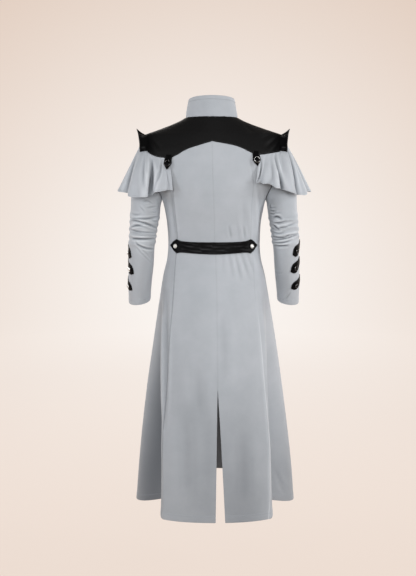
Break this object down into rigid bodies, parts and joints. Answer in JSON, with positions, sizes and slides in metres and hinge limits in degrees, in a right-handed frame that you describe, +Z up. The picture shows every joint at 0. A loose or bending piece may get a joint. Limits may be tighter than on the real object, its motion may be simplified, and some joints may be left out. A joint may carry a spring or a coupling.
{
  "type": "trench coat",
  "caption": "Long flared coat with a standing collar, a dark pointed yoke, short flounced capes on the shoulders, a half-belt at the back waist and slanted cuff tabs.",
  "frame": {"origin": "middle of the neck seam at the height of the nape, where the wearer's neck and shoulders hold the coat", "axes": "+Z up, -Y towards the coat's front, +X towards the wearer's left"},
  "size_m": [0.6332, 0.4714, 1.3415],
  "materials": {
    "grey_twill": "smooth close twill, soft sheen",
    "black_hide": "satin, black",
    "nickel": "polished nickel plate"
  },
  "bodies": {
    "root": {"collar": "grey_twill", "yoke_back": "black_hide", "back_belt": "black_hide", "back_left": "grey_twill", "side_back_left": "grey_twill", "front_left": "grey_twill", "sleeve_left": "grey_twill", "cape_left": "grey_twill", "yoke_front_left": "black_hide", "wing_left": "black_hide", "cape_tab_left": "black_hide", "cuff_tab_left_1": "black_hide", "cuff_tab_left_2": "black_hide", "cuff_tab_left_3": "black_hide", "cuff_button_left_1": "nickel", "cuff_button_left_2": "nickel", "cuff_button_left_3": "nickel", "belt_button_left": "nickel", "cape_tab_button_left": "nickel", "back_right": "grey_twill", "side_back_right": "grey_twill", "front_right": "grey_twill", "sleeve_right": "grey_twill", "cape_right": "grey_twill", "yoke_front_right": "black_hide", "wing_right": "black_hide", "cape_tab_right": "black_hide", "cuff_tab_right_1": "black_hide", "cuff_tab_right_2": "black_hide", "cuff_tab_right_3": "black_hide", "cuff_button_right_1": "nickel", "cuff_button_right_2": "nickel", "cuff_button_right_3": "nickel", "belt_button_right": "nickel", "cape_tab_button_right": "nickel", "front_button_1": "nickel", "front_button_2": "nickel", "front_button_3": "nickel", "front_button_4": "nickel", "front_button_5": "nickel", "front_button_6": "nickel"}
  },
  "joints": []
}
